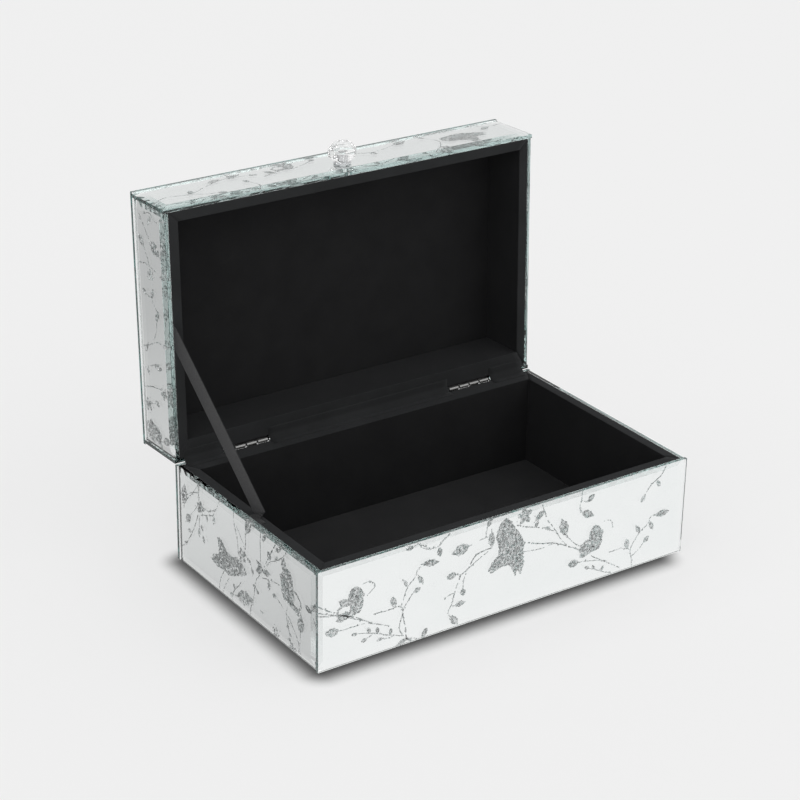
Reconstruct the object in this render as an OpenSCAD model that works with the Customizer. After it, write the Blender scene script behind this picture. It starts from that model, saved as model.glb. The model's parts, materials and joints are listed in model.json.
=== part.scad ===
// Hinged trinket box: lined boards faced with bevelled mirror panes, a ribbon stay and a crystal knob.
// The origin is the middle of the felt's resting face. +X is to the right, +Y to the back, +Z up.
// The lid is drawn shut and then turned back about the hinge pins to its open position.

/* [Box] */
// Width across the front
body_w = 250; // [200:1:320]
// Depth from front to back
body_d = 152; // [120:1:200]
// Height of the base, without the felt below it
base_h = 60; // [45:1:90]
// Height of the lid
lid_h = 38; // [34:1:60]
// Gap between the two rims when the lid is shut
rim_gap = 0.8; // [0.8:0.1:1.2]
// Angle of the open lid from shut
open_angle = 92; // [60:1:92]

/* [Glass] */
// Thickness of each mirror pane
glass_t = 3; // [2.5:0.1:4]
// Width of the bevel around a pane's face
bevel_w = 5; // [2:0.5:7]
// How much thinner a pane is at its edge
bevel_drop = 0.9; // [0.9:0.1:1.2]

/* [Boards and lining] */
// Thickness of the front and side boards
board_t = 5; // [4:0.5:7]
// Thickness of the back boards, which carry the hinges
back_board_t = 9.5; // [9:0.5:12]
// Thickness of the bottom board
bottom_board_t = 4; // [3:0.5:6]
// Thickness of the lid's top board
top_board_t = 2.5; // [2:0.5:4]
// Thickness of each fabric-covered liner card
liner_t = 1; // [0.6:0.1:1.5]
// Thickness of the pad on the floor
floor_pad_t = 1.5; // [1:0.5:3]
// Thickness of the strips that cover the rims
rim_cover_t = 0.4; // [0.3:0.1:0.5]
// Thickness of the felt under the base
felt_t = 2; // [1:0.5:3]
// Distance of the felt's edge from the outside
felt_inset = 5; // [4:1:10]

/* [Hinges] */
// Length of each hinge
hinge_l = 30; // [24:1:40]
// Distance of each hinge's middle from the box's middle
hinge_x = 79; // [60:1:80]
// Outer radius of the knuckles
knuckle_r = 1.25; // [1.1:0.05:1.3]
// Radius of the hinge pins
pin_r = 0.6; // [0.5:0.05:0.7]
// Depth of a leaf from the pin to its inner edge
leaf_depth = 10; // [9:0.5:11]
// Thickness of a leaf
leaf_t = 0.8; // [0.6:0.1:0.8]

/* [Ribbon stay] */
// Width of the ribbon
ribbon_w = 12; // [8:0.5:14]
// Thickness of the ribbon
ribbon_t = 0.4; // [0.3:0.1:0.5]
// Place of the ribbon along the lid's left rim
ribbon_lid_y = -2; // [-20:1:20]
// Place of the ribbon along the base's left rim
ribbon_base_y = -7; // [-20:1:20]

/* [Knob] */
// Width of the crystal across its points
crystal_d = 16.6; // [14:0.2:20]
// Height of the crystal
crystal_h = 10; // [8:0.5:14]
// Height of the knob's axis above the lid's rim
knob_z = 15; // [14:1:22]

/* [Hidden] */

$fn = 48;
over = 1; // how far a cut runs past the face that it starts from

// sides of the box, in the order of its corners
FRONT = 0;
RIGHT = 1;
BACK = 2;
LEFT = 3;

// plan outlines as [left, front, right, back]
outer_plan = [-body_w / 2, -body_d / 2, body_w / 2, body_d / 2];
board_plan = inset(outer_plan, glass_t, glass_t);
lining_plan = inset(board_plan, board_t, back_board_t);
cavity_plan = inset(lining_plan, liner_t, liner_t);
felt_plan = inset(outer_plan, felt_inset, felt_inset);

// heights, with the lid shut
base_z = felt_t;
base_rim_z = base_z + base_h;
base_board_top = base_rim_z - rim_cover_t;
floor_z = base_z + bottom_board_t;
lid_rim_z = base_rim_z + rim_gap;
lid_board_low = lid_rim_z + rim_cover_t;
lid_top_z = lid_rim_z + lid_h;
lid_pane_top = lid_top_z - glass_t;
ceiling_z = lid_pane_top - top_board_t - liner_t;

// hinge line
pin_y = body_d / 2 - bevel_drop;
pin_z = base_rim_z + rim_gap / 2;
pin_clearance = 0.05;
pin_head_r = 1;
pin_head_t = 0.5;
knuckles = 4;
knuckle_gap = 1.1;
knuckle_pitch = hinge_l / knuckles;
leaf_gap = 0.25;                       // between a leaf and the other leaf's knuckles
notch_l = hinge_l + 2 * pin_head_t + 1; // cut in the back panes for a hinge
notch_depth = 1.6;

// hinge screws
screw_r = 0.8;
screw_head_r = 1.5;
screw_head_t = 0.5;
screw_l = 8;
screw_clearance = 0.03;
screw_spread = 20;
screw_y = pin_y - 6.5;

// knob
rosette_r = 5.2;
rosette_t = 2;
knob_screw_r = 2;
knob_screw_head_r = 4;
knob_screw_head_t = 1.8;
knob_screw_reach = 3;                  // how far the screw goes into the crystal
pane_hole_r = knob_screw_r + 0.3;

// ribbon ends
tail_l = 12;                           // length that is glued behind a pane
ribbon_foot = 4.4;                     // how far the ribbon's foot stands in from the pane
ribbon_slot_w = ribbon_w * sqrt(2) + 1;
tail_x = board_plan[0];
tail_clear = 0.05;
ribbon_air = 0.3;                      // between the ribbon's ends and the lid's rim

black_board = "#2b2b2d";
black_fabric = "#1a1a1b";
rim_black = "#2c2c2e";
mirror_pane = "#cfe0dc";
nickel = "#b9babb";

// a plan outline moved in by d at the front and sides and by back at the back
function inset(plan, d, back) = [plan[0] + d, plan[1] + d, plan[2] - d, plan[3] - back];

// corner k of a plan outline, from front left and on round by the right
function corner(plan, k) =
    [k % 4 == 0 || k % 4 == 3 ? plan[0] : plan[2], k % 4 < 2 ? plan[1] : plan[3]];

// turns what is drawn on the shut lid to where the open lid has it
module on_open_lid() {
    translate([0, pin_y, pin_z])
        rotate([-open_angle, 0, 0])
            translate([0, -pin_y, -pin_z])
                children();
}

// one side of a four-sided frame with mitred corners
module frame_side(side, outside, inside, low, high) {
    translate([0, 0, low])
        linear_extrude(high - low)
            polygon([
                corner(outside, side), corner(outside, side + 1),
                corner(inside, side + 1), corner(inside, side)
            ]);
}

// a plate that fills a plan outline
module plate(plan, low, high) {
    translate([plan[0], plan[1], low])
        cube([plan[2] - plan[0], plan[3] - plan[1], high - low]);
}

// section of a pane of length l, thinner towards both its edges
module pane_section(l) {
    edge = glass_t - bevel_drop;
    polygon([[0, 0], [l, 0], [l, edge], [l - bevel_w, glass_t], [bevel_w, glass_t], [0, edge]]);
}

// a pane with its back on XY, its face up and its bevels mitred at the corners
module pane(w, h) {
    intersection() {
        translate([0, h, 0]) rotate([90, 0, 0]) linear_extrude(h) pane_section(w);
        rotate([90, 0, 90]) linear_extrude(w) pane_section(h);
    }
}

// a pane that stands on one side of the box, with its face outwards
module side_pane(side, low, high) {
    length = side % 2 == 0 ? body_w : body_d - 2 * glass_t;
    distance = (side % 2 == 0 ? body_d : body_w) / 2 - glass_t;
    rotate([0, 0, 90 * side])
        translate([-length / 2, -distance, low])
            rotate([90, 0, 0])
                pane(length, high - low);
}

// runs its children at both hinges
module at_hinges() {
    for (x = [-hinge_x, hinge_x]) translate([x, 0, 0]) children();
}

// the cut that makes room for the hinges in a back pane, up or down from its rim
module hinge_notches(rim_z, up) {
    at_hinges()
        translate([-notch_l / 2, body_d / 2 - glass_t - 0.01, rim_z - (up ? over : notch_depth)])
            cube([notch_l, glass_t + over, notch_depth + over]);
}

// the mortises in a back board's edge that the leaves lie in
module leaf_mortises(level, up) {
    at_hinges()
        translate([-hinge_l / 2, pin_y - leaf_depth, level - (up ? over : leaf_t)])
            cube([hinge_l, leaf_depth + over, leaf_t + over]);
}

// a countersunk screw, its head's flat on XY and its point down
module screw(extra) {
    translate([0, 0, -screw_head_t])
        cylinder(r1 = screw_r + extra, r2 = screw_head_r + extra, h = screw_head_t);
    translate([0, 0, -screw_l])
        cylinder(r = screw_r + extra, h = screw_l - screw_head_t);
}

// the two screws of each hinge leaf, from the level of the board's edge
module hinge_screws(level, up, extra = 0) {
    at_hinges()
        for (x = [-screw_spread / 2, screw_spread / 2])
            translate([x, screw_y, level]) rotate([up ? 180 : 0, 0, 0]) screw(extra);
}

// one knuckle, the k-th along the hinge
module knuckle(k) {
    translate([-hinge_l / 2 + k * knuckle_pitch + knuckle_gap / 2, pin_y, pin_z])
        rotate([0, 90, 0])
            cylinder(r = knuckle_r, h = knuckle_pitch - knuckle_gap);
}

// room around the other leaf's knuckle, the k-th along the hinge
module knuckle_room(k) {
    translate([-hinge_l / 2 + k * knuckle_pitch - knuckle_gap / 2, pin_y, pin_z])
        rotate([0, 90, 0])
            cylinder(r = knuckle_r + leaf_gap, h = knuckle_pitch + knuckle_gap);
}

// a hinge leaf that lies on a board's edge, with every second knuckle from the first one given
module hinge_leaf(x, level, up, first) {
    color(nickel)
    difference() {
        translate([x, 0, 0])
            difference() {
                union() {
                    translate([-hinge_l / 2, pin_y - leaf_depth, level - (up ? 0 : leaf_t)])
                        cube([hinge_l, leaf_depth, leaf_t]);
                    for (k = [first, first + 2]) knuckle(k);
                }
                for (k = [1 - first, 3 - first]) knuckle_room(k);
                translate([-hinge_l / 2 - over, pin_y, pin_z])
                    rotate([0, 90, 0])
                        cylinder(r = pin_r + pin_clearance, h = hinge_l + 2 * over);
            }
        hinge_screws(level, up, screw_clearance);
    }
}

module hinge_pin(x) {
    color(nickel)
    translate([x - hinge_l / 2, pin_y, pin_z])
        rotate([0, 90, 0]) {
            cylinder(r = pin_r, h = hinge_l);
            for (z = [-pin_head_t, hinge_l])
                translate([0, 0, z]) cylinder(r = pin_head_r, h = pin_head_t);
        }
}

// the slot that a ribbon's tail is glued into, between the left board and its pane
module tail_slot(y, low, high) {
    translate([tail_x - over, y - ribbon_slot_w / 2, low])
        cube([over + ribbon_t + tail_clear, ribbon_slot_w, high - low]);
}

// a stretch of ribbon that lies along the left side, cut at 45 degrees
module tail_plate(y, low, high) {
    translate([tail_x + tail_clear / 2, y - ribbon_w / sqrt(2), low])
        cube([ribbon_t, ribbon_w * sqrt(2), high - low]);
}

// ---- base ----

module base_board(side) {
    color(black_board)
    difference() {
        frame_side(side, board_plan, lining_plan, base_z, base_board_top);
        if (side == BACK) leaf_mortises(base_board_top, false);
        if (side == BACK) hinge_screws(base_board_top, false);
        if (side == LEFT) tail_slot(ribbon_base_y, base_board_top - tail_l, base_rim_z);
    }
}

module base_bottom_board() {
    color(black_board) plate(lining_plan, base_z, floor_z);
}

module base_glass(side) {
    color(mirror_pane)
    difference() {
        side_pane(side, base_z, base_rim_z);
        if (side == BACK) hinge_notches(base_rim_z, false);
    }
}

module base_liner(side) {
    color(black_fabric) frame_side(side, lining_plan, cavity_plan, floor_z, base_board_top);
}

module base_floor_pad() {
    color(black_fabric) plate(cavity_plan, floor_z, floor_z + floor_pad_t);
}

module base_rim_cover(side) {
    color(rim_black)
    difference() {
        frame_side(side, board_plan, cavity_plan, base_board_top, base_rim_z);
        if (side == LEFT) tail_slot(ribbon_base_y, base_board_top - over, base_rim_z + over);
    }
}

module underside_felt() {
    color(black_fabric) plate(felt_plan, 0, felt_t);
}

module base_hinge_screws() {
    color(nickel) hinge_screws(base_board_top, false);
}

// the taut ribbon between the two rims
module ribbon_stay() {
    half = ribbon_w / sqrt(2);
    color(rim_black)
    hull() {
        translate([tail_x + ribbon_foot, ribbon_base_y - half, base_rim_z + ribbon_t])
            cube([ribbon_t, 2 * half, 0.01]);
        on_open_lid()
            translate([tail_x, ribbon_lid_y - half, lid_rim_z - ribbon_air])
                cube([ribbon_t, 2 * half, 0.01]);
    }
}

// the end that lies on the base's rim and is tucked in behind the left pane
module ribbon_base_tail() {
    half = ribbon_w / sqrt(2);
    color(rim_black) {
        tail_plate(ribbon_base_y, base_board_top - tail_l, base_rim_z);
        translate([tail_x + tail_clear / 2, ribbon_base_y - half, base_rim_z])
            cube([ribbon_foot + ribbon_t, 2 * half, ribbon_t]);
    }
}

// ---- lid ----

module lid_board(side) {
    color(black_board)
    on_open_lid()
        difference() {
            frame_side(side, board_plan, lining_plan, lid_board_low, lid_pane_top);
            if (side == BACK) leaf_mortises(lid_board_low, true);
            if (side == BACK) hinge_screws(lid_board_low, true);
            if (side == LEFT) tail_slot(ribbon_lid_y, lid_rim_z, lid_board_low + tail_l);
            if (side == FRONT) knob_hole(knob_screw_r);
        }
}

module lid_top_board() {
    color(black_board) on_open_lid() plate(lining_plan, lid_pane_top - top_board_t, lid_pane_top);
}

module lid_glass(side) {
    color(mirror_pane)
    on_open_lid()
        difference() {
            side_pane(side, lid_rim_z, lid_pane_top);
            if (side == BACK) hinge_notches(lid_rim_z, true);
            if (side == FRONT) knob_hole(pane_hole_r);
        }
}

module lid_top_glass() {
    color(mirror_pane)
    on_open_lid()
        translate([-body_w / 2, -body_d / 2, lid_pane_top]) pane(body_w, body_d);
}

module lid_liner(side) {
    color(black_fabric)
    on_open_lid()
        difference() {
            frame_side(side, lining_plan, cavity_plan, lid_board_low, ceiling_z);
            if (side == FRONT) knob_hole(knob_screw_r);
        }
}

module lid_ceiling_liner() {
    color(black_fabric) on_open_lid() plate(lining_plan, ceiling_z, ceiling_z + liner_t);
}

module lid_rim_cover(side) {
    color(rim_black)
    on_open_lid()
        difference() {
            frame_side(side, board_plan, cavity_plan, lid_rim_z, lid_board_low);
            if (side == LEFT) tail_slot(ribbon_lid_y, lid_rim_z - over, lid_board_low + over);
        }
}

module lid_hinge_screws() {
    color(nickel) on_open_lid() hinge_screws(lid_board_low, true);
}

module ribbon_lid_tail() {
    color(rim_black) on_open_lid() tail_plate(ribbon_lid_y, lid_rim_z, lid_board_low + tail_l);
}

// ---- knob, drawn on the shut lid's front ----

// puts a shape drawn along +Z on the knob's axis, with z = 0 at the front pane's face
module on_knob_axis() {
    translate([0, -body_d / 2, lid_rim_z + knob_z]) rotate([90, 0, 0]) children();
}

module knob_hole(r) {
    on_knob_axis()
        translate([0, 0, -glass_t - board_t - liner_t - over])
            cylinder(r = r, h = glass_t + board_t + liner_t + 2 * over);
}

module knob_rosette() {
    color(nickel)
    on_open_lid() on_knob_axis()
        rotate_extrude()
            polygon([
                [knob_screw_r, 0], [rosette_r, 0], [rosette_r, 0.5], [rosette_r - 0.8, 1.1],
                [rosette_r - 1.2, rosette_t], [knob_screw_r, rosette_t]
            ]);
}

// cuts one facet all the way round the crystal, past the edge at distance d and height z
module facet_cuts(d, z, tilt) {
    reach = 2 * crystal_d;
    for (turn = [0:45:315])
        rotate([0, 0, turn])
            translate([d, 0, z])
                rotate([0, tilt, 0])
                    translate([-reach / 2, -reach / 2, 0]) cube(reach);
}

module knob_crystal() {
    flat = crystal_d / 2 * cos(22.5); // distance of the girdle's flats from the axis
    foot_h = 0.22 * crystal_h;
    crown_z = 0.66 * crystal_h;
    foot_in = 0.26 * flat;
    crown_in = 0.38 * flat;
    color("#eef2f2")
    on_open_lid() on_knob_axis()
        translate([0, 0, rosette_t])
            difference() {
                rotate([0, 0, 22.5]) cylinder(d = crystal_d, h = crystal_h, $fn = 8);
                facet_cuts(flat, foot_h, atan2(foot_h, -foot_in));
                facet_cuts(flat, crown_z, atan2(crystal_h - crown_z, crown_in));
                translate([0, 0, -over]) cylinder(r = knob_screw_r, h = knob_screw_reach + over);
            }
}

module knob_screw() {
    inside = -glass_t - board_t - liner_t;
    color(nickel)
    on_open_lid() on_knob_axis() {
        translate([0, 0, inside])
            cylinder(r = knob_screw_r, h = rosette_t + knob_screw_reach - inside);
        translate([0, 0, inside - knob_screw_head_t])
            difference() {
                cylinder(r = knob_screw_head_r, h = knob_screw_head_t);
                translate([-0.4, -knob_screw_head_r, -over]) cube([0.8, 2 * knob_screw_head_r, over + 0.8]);
            }
    }
}

base_board(FRONT);  // base_front_board
base_board(RIGHT);  // base_right_board
base_board(BACK);  // base_back_board
base_board(LEFT);  // base_left_board
base_bottom_board();
base_glass(FRONT);  // base_front_glass
base_glass(RIGHT);  // base_right_glass
base_glass(BACK);  // base_back_glass
base_glass(LEFT);  // base_left_glass
base_liner(FRONT);  // base_front_liner
base_liner(RIGHT);  // base_right_liner
base_liner(BACK);  // base_back_liner
base_liner(LEFT);  // base_left_liner
base_floor_pad();
base_rim_cover(FRONT);  // base_front_rim_cover
base_rim_cover(RIGHT);  // base_right_rim_cover
base_rim_cover(BACK);  // base_back_rim_cover
base_rim_cover(LEFT);  // base_left_rim_cover
underside_felt();
hinge_leaf(-hinge_x, base_board_top, false, 0);  // hinge_left_base_leaf
hinge_leaf(hinge_x, base_board_top, false, 0);  // hinge_right_base_leaf
hinge_pin(-hinge_x);  // hinge_left_pin
hinge_pin(hinge_x);  // hinge_right_pin
base_hinge_screws();
ribbon_stay();
ribbon_base_tail();
lid_board(FRONT);  // lid_front_board
lid_board(RIGHT);  // lid_right_board
lid_board(BACK);  // lid_back_board
lid_board(LEFT);  // lid_left_board
lid_top_board();
lid_glass(FRONT);  // lid_front_glass
lid_glass(RIGHT);  // lid_right_glass
lid_glass(BACK);  // lid_back_glass
lid_glass(LEFT);  // lid_left_glass
lid_top_glass();
lid_liner(FRONT);  // lid_front_liner
lid_liner(RIGHT);  // lid_right_liner
lid_liner(BACK);  // lid_back_liner
lid_liner(LEFT);  // lid_left_liner
lid_ceiling_liner();
lid_rim_cover(FRONT);  // lid_front_rim_cover
lid_rim_cover(RIGHT);  // lid_right_rim_cover
lid_rim_cover(BACK);  // lid_back_rim_cover
lid_rim_cover(LEFT);  // lid_left_rim_cover
on_open_lid() hinge_leaf(-hinge_x, lid_board_low, true, 1);  // hinge_left_lid_leaf
on_open_lid() hinge_leaf(hinge_x, lid_board_low, true, 1);  // hinge_right_lid_leaf
lid_hinge_screws();
knob_rosette();
knob_crystal();
knob_screw();
ribbon_lid_tail();
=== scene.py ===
"""Looks of a hinged, mirrored trinket box: bevelled glass panes with a silvered back and a glitter
motif of birds and twigs, velour lining, flocked rims, a grosgrain ribbon stay and a crystal knob."""

import json
import math
import random

import bpy
import bmesh
from mathutils import Matrix, Vector, noise
from mathutils.geometry import tessellate_polygon


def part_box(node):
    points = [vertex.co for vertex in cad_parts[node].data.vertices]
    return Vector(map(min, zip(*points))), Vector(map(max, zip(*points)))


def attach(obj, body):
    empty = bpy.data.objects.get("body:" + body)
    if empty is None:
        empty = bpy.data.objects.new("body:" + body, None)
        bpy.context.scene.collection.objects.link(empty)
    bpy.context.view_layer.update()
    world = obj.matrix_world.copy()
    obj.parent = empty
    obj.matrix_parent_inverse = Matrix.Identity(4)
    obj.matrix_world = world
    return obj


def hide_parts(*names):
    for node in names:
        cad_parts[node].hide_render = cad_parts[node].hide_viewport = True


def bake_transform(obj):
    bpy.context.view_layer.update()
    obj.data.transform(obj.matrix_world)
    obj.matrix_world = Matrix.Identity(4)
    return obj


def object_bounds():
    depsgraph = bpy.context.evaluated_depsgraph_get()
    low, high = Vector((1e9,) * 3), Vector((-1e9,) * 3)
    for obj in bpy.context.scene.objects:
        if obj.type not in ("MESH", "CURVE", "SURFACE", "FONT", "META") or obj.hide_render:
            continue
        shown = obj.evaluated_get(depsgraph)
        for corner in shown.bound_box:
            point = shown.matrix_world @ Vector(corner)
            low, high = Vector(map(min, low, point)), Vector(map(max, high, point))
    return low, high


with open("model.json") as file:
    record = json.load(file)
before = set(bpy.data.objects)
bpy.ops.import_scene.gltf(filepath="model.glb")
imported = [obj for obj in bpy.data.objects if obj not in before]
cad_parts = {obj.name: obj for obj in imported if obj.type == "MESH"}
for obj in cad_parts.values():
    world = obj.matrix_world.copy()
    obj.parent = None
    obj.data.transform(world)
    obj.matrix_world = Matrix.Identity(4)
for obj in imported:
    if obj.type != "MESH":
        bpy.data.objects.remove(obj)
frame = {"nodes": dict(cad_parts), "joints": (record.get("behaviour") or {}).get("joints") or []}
cad_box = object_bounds()

MM = 0.001
FRONT, RIGHT, BACK, LEFT, TOP = range(5)
SIDE_NAMES = ["front", "right", "back", "left", "top"]
# about how long the cells of a mesh are along a soft or bending part
CELL = 4 * MM

# ---------------------------------------------------------------------------------------------
# The frame: the hinge's turn, and the places of the nodes with the lid shut
# ---------------------------------------------------------------------------------------------

HINGE = frame["joints"][0]
HINGE_POINT = Vector(HINGE["pos_m"])
OPEN_ANGLE = math.radians(HINGE["range_deg"][1])
OPEN_LID = (Matrix.Translation(HINGE_POINT)
            @ Matrix.Rotation(-OPEN_ANGLE, 4, "X")
            @ Matrix.Translation(-HINGE_POINT))
SHUT_LID = OPEN_LID.inverted()
LID_NODE_STARTS = ("lid_", "knob_", "ribbon_lid_")


def shut_box(node):
    """Lowest and highest corner of a node with the lid shut."""
    turn = SHUT_LID if node.startswith(LID_NODE_STARTS) else Matrix.Identity(4)
    points = [turn @ v.co for v in frame["nodes"][node].data.vertices]
    low = Vector([min(p[k] for p in points) for k in range(3)])
    high = Vector([max(p[k] for p in points) for k in range(3)])
    return low, high


def body_turn(body):
    """Turns what is built on the shut box to where the body is at rest."""
    return OPEN_LID if body == "lid" else Matrix.Identity(4)


def side_axes(side):
    """Directions along a side, up it and out of it, as its face is seen from outside."""
    along = [(1, 0, 0), (0, 1, 0), (-1, 0, 0), (0, -1, 0), (1, 0, 0)]
    out = [(0, -1, 0), (1, 0, 0), (0, 1, 0), (-1, 0, 0), (0, 0, 1)]
    up = (0, 1, 0) if side == TOP else (0, 0, 1)
    return Vector(along[side]), Vector(up), Vector(out[side])


def side_place(node, side, body, inwards=False):
    """Matrix and size of a flat node: its face's x goes along, y goes up, and z goes out from its back.
    With inwards, z goes into the box from the node's outer face, and x still runs the same way."""
    low, high = shut_box(node)
    along, up, out = side_axes(side)
    centre = (low + high) / 2
    size = high - low
    extent = [abs(size.dot(axis)) for axis in (along, up, out)]
    start = centre - along * extent[0] / 2 - up * extent[1] / 2
    start += out * extent[2] / 2 * (1 if inwards else -1)
    depth = -out if inwards else out
    matrix = Matrix((along, up, depth)).transposed().to_4x4()
    matrix.translation = start
    return body_turn(body) @ matrix, extent


# ---------------------------------------------------------------------------------------------
# Camera, floor, light
# ---------------------------------------------------------------------------------------------

CAMERA_PLACE = Vector((-0.67458, -0.94181, 0.63099))
CAMERA_VIEW = Vector((0.51700, 0.74774, -0.41664))
CAMERA_ROLL = math.radians(0.9)
LENS_MM = 102.15


def make_camera():
    data = bpy.data.cameras.new("camera")
    data.lens = LENS_MM
    data.sensor_width = 36
    data.clip_start = 0.05
    data.clip_end = 60
    camera = bpy.data.objects.new("camera", data)
    turn = CAMERA_VIEW.to_track_quat("-Z", "Y").to_matrix().to_4x4()
    camera.matrix_world = Matrix.Translation(CAMERA_PLACE) @ turn @ Matrix.Rotation(CAMERA_ROLL, 4, "Z")
    bpy.context.scene.collection.objects.link(camera)
    bpy.context.scene.camera = camera


# ---------------------------------------------------------------------------------------------
# Materials
# ---------------------------------------------------------------------------------------------

def new_material(name):
    """A material with its node tree and its Principled shader."""
    material = bpy.data.materials.new(name)
    material.use_nodes = True
    return material, material.node_tree, material.node_tree.nodes["Principled BSDF"]


def add(tree, kind, inputs=None, **settings):
    """Adds a shader node. inputs maps a socket's name or index to a value, or to a socket to link."""
    node = tree.nodes.new("ShaderNode" + kind)
    for name, value in settings.items():
        setattr(node, name, value)
    for key, value in (inputs or {}).items():
        if isinstance(value, bpy.types.NodeSocket):
            tree.links.new(value, node.inputs[key])
        else:
            node.inputs[key].default_value = value
    return node


def bare_material(name):
    """A material without a shader yet: with its node tree and the socket for its surface."""
    material = bpy.data.materials.new(name)
    material.use_nodes = True
    tree = material.node_tree
    tree.nodes.clear()
    return material, tree, add(tree, "OutputMaterial").inputs["Surface"]


def set_plain(shader, **values):
    """Sets sockets that have one value all over; an underscore in a name stands for a space."""
    for name, value in values.items():
        shader.inputs[name.replace("_", " ")].default_value = value


def place_of(tree):
    """The point in the part's own frame, which moves with the piece."""
    return add(tree, "TexCoord").outputs["Object"]


def noise_at(tree, scale, detail=3, roughness=0.55):
    inputs = {"Vector": place_of(tree), "Scale": scale, "Detail": detail, "Roughness": roughness}
    return add(tree, "TexNoise", inputs).outputs["Fac"]


def spread(tree, value, low, high):
    """Maps the middle of a noise to low..high."""
    inputs = {"Value": value, "From Min": 0.3, "From Max": 0.7, "To Min": low, "To Max": high}
    return add(tree, "MapRange", inputs).outputs["Result"]


def ramp_through(tree, value, stops, interpolation="LINEAR"):
    """A colour ramp through stops, given as (position, colour)."""
    ramp = add(tree, "ValToRGB", {"Fac": value})
    ramp.color_ramp.interpolation = interpolation
    elements = ramp.color_ramp.elements
    while len(elements) < len(stops):
        elements.new(0.5)
    for element, (position, colour) in zip(elements, stops):
        element.position = position
        element.color = (*colour, 1)
    return ramp.outputs["Color"]


def link_tint(tree, shader, value, dark, bright):
    """Colours a shader between dark and bright."""
    colour = ramp_through(tree, value, [(0, dark), (1, bright)])
    tree.links.new(colour, shader.inputs["Base Color"])


def bump(tree, shader, height, strength, distance):
    node = add(tree, "Bump", {"Height": height, "Strength": strength, "Distance": distance})
    tree.links.new(node.outputs["Normal"], shader.inputs["Normal"])


GLASS_TINT = (0.23, 0.49, 0.47, 1)
GLASS_DENSITY = 11


def glass_material():
    """Float glass: clear, a little green along a long path, and not quite flat."""
    material, tree, shader = new_material("float_glass")
    set_plain(shader, Base_Color=(1, 1, 1, 1), Roughness=0.0, IOR=1.52, Transmission_Weight=1.0)
    bump(tree, shader, noise_at(tree, 35, 1), 0.05, 0.0004)
    absorb = add(tree, "VolumeAbsorption")
    absorb.inputs["Color"].default_value = GLASS_TINT
    absorb.inputs["Density"].default_value = GLASS_DENSITY
    tree.links.new(absorb.outputs["Volume"], tree.nodes["Material Output"].inputs["Volume"])
    return material


def silver_material():
    """The silvered back of a pane, with a faint cloudiness."""
    material, tree, shader = new_material("silvering")
    set_plain(shader, Metallic=1.0, Roughness=0.01)
    cloud = spread(tree, noise_at(tree, 60), 0, 1)
    link_tint(tree, shader, cloud, (0.975, 0.98, 0.978), (0.995, 0.997, 0.995))
    return material


FLAKES_PER_METRE = 1150
FLAKE_TILT = 0.6


def glitter_material(name, shades):
    """Flakes of glitter, each with a tilt of its own and one of a few shades, given as (share, level)."""
    material, tree, shader = new_material(name)
    set_plain(shader, Metallic=0.9, Roughness=0.35)
    flakes = add(tree, "TexVoronoi", {"Vector": place_of(tree), "Scale": FLAKES_PER_METRE})
    chance = add(tree, "SeparateXYZ", {"Vector": flakes.outputs["Color"]}).outputs["X"]
    stops = []
    start = 0.0
    for share, level in shades:
        stops.append((start, (level, level * 1.01, level * 1.01)))
        start += share
    tree.links.new(ramp_through(tree, chance, stops, "CONSTANT"), shader.inputs["Base Color"])
    tilt = add(tree, "VectorMath", {0: flakes.outputs["Color"], 1: (0.5, 0.5, 0.5)}, operation="SUBTRACT")
    scaled = add(tree, "VectorMath", {0: tilt.outputs[0], "Scale": FLAKE_TILT}, operation="SCALE")
    normal = add(tree, "NewGeometry").outputs["Normal"]
    tilted = add(tree, "VectorMath", {0: scaled.outputs[0], 1: normal}, operation="ADD")
    unit = add(tree, "VectorMath", {0: tilted.outputs[0]}, operation="NORMALIZE")
    tree.links.new(unit.outputs[0], shader.inputs["Normal"])
    return material


def velour_material(name, dark, bright, pile, depth):
    """Short black pile: uneven tone, fine fibres and a weak sheen."""
    material, tree, shader = new_material(name)
    set_plain(shader, Roughness=1.0, Specular_IOR_Level=0.12, Sheen_Weight=0.06, Sheen_Roughness=0.5)
    shader.inputs["Sheen Tint"].default_value = (0.75, 0.78, 0.82, 1)
    brushed = noise_at(tree, 45, 4)
    fibres = noise_at(tree, pile, 2, 0.7)
    both = add(tree, "Math", {0: brushed, 1: fibres}, operation="ADD")
    half = add(tree, "Math", {0: both.outputs[0], 1: 0.5}, operation="MULTIPLY")
    link_tint(tree, shader, spread(tree, half.outputs[0], 0, 1), dark, bright)
    bump(tree, shader, fibres, 0.6, depth)
    return material


def ribbon_material():
    """Grosgrain: ribs across the ribbon, from the mesh's own measure along and across it in mm."""
    material, tree, shader = new_material("grosgrain")
    set_plain(shader, Roughness=0.62, Sheen_Weight=0.1, Sheen_Roughness=0.4, Specular_IOR_Level=0.3)
    measure = add(tree, "UVMap", uv_map="along")
    ribs = add(tree, "TexWave", {"Vector": measure.outputs["UV"], "Scale": 0.52, "Distortion": 0.3},
               bands_direction="Y", wave_profile="SIN")
    threads = add(tree, "TexWave", {"Vector": measure.outputs["UV"], "Scale": 1.1, "Distortion": 0.2},
                  bands_direction="X", wave_profile="SIN")
    weave = add(tree, "Math", {0: ribs.outputs["Fac"], 1: threads.outputs["Fac"]}, operation="MULTIPLY")
    link_tint(tree, shader, weave.outputs[0], (0.020, 0.020, 0.021), (0.043, 0.043, 0.046))
    bump(tree, shader, weave.outputs[0], 0.7, 0.00012)
    return material


def board_material():
    """Fibreboard wrapped in black paper."""
    material, tree, shader = new_material("black_board")
    set_plain(shader, Specular_IOR_Level=0.3)
    grain = noise_at(tree, 900, 4, 0.7)
    link_tint(tree, shader, spread(tree, grain, 0, 1), (0.012, 0.012, 0.013), (0.03, 0.03, 0.032))
    tree.links.new(spread(tree, grain, 0.55, 0.75), shader.inputs["Roughness"])
    bump(tree, shader, grain, 0.3, 0.00005)
    return material


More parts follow.
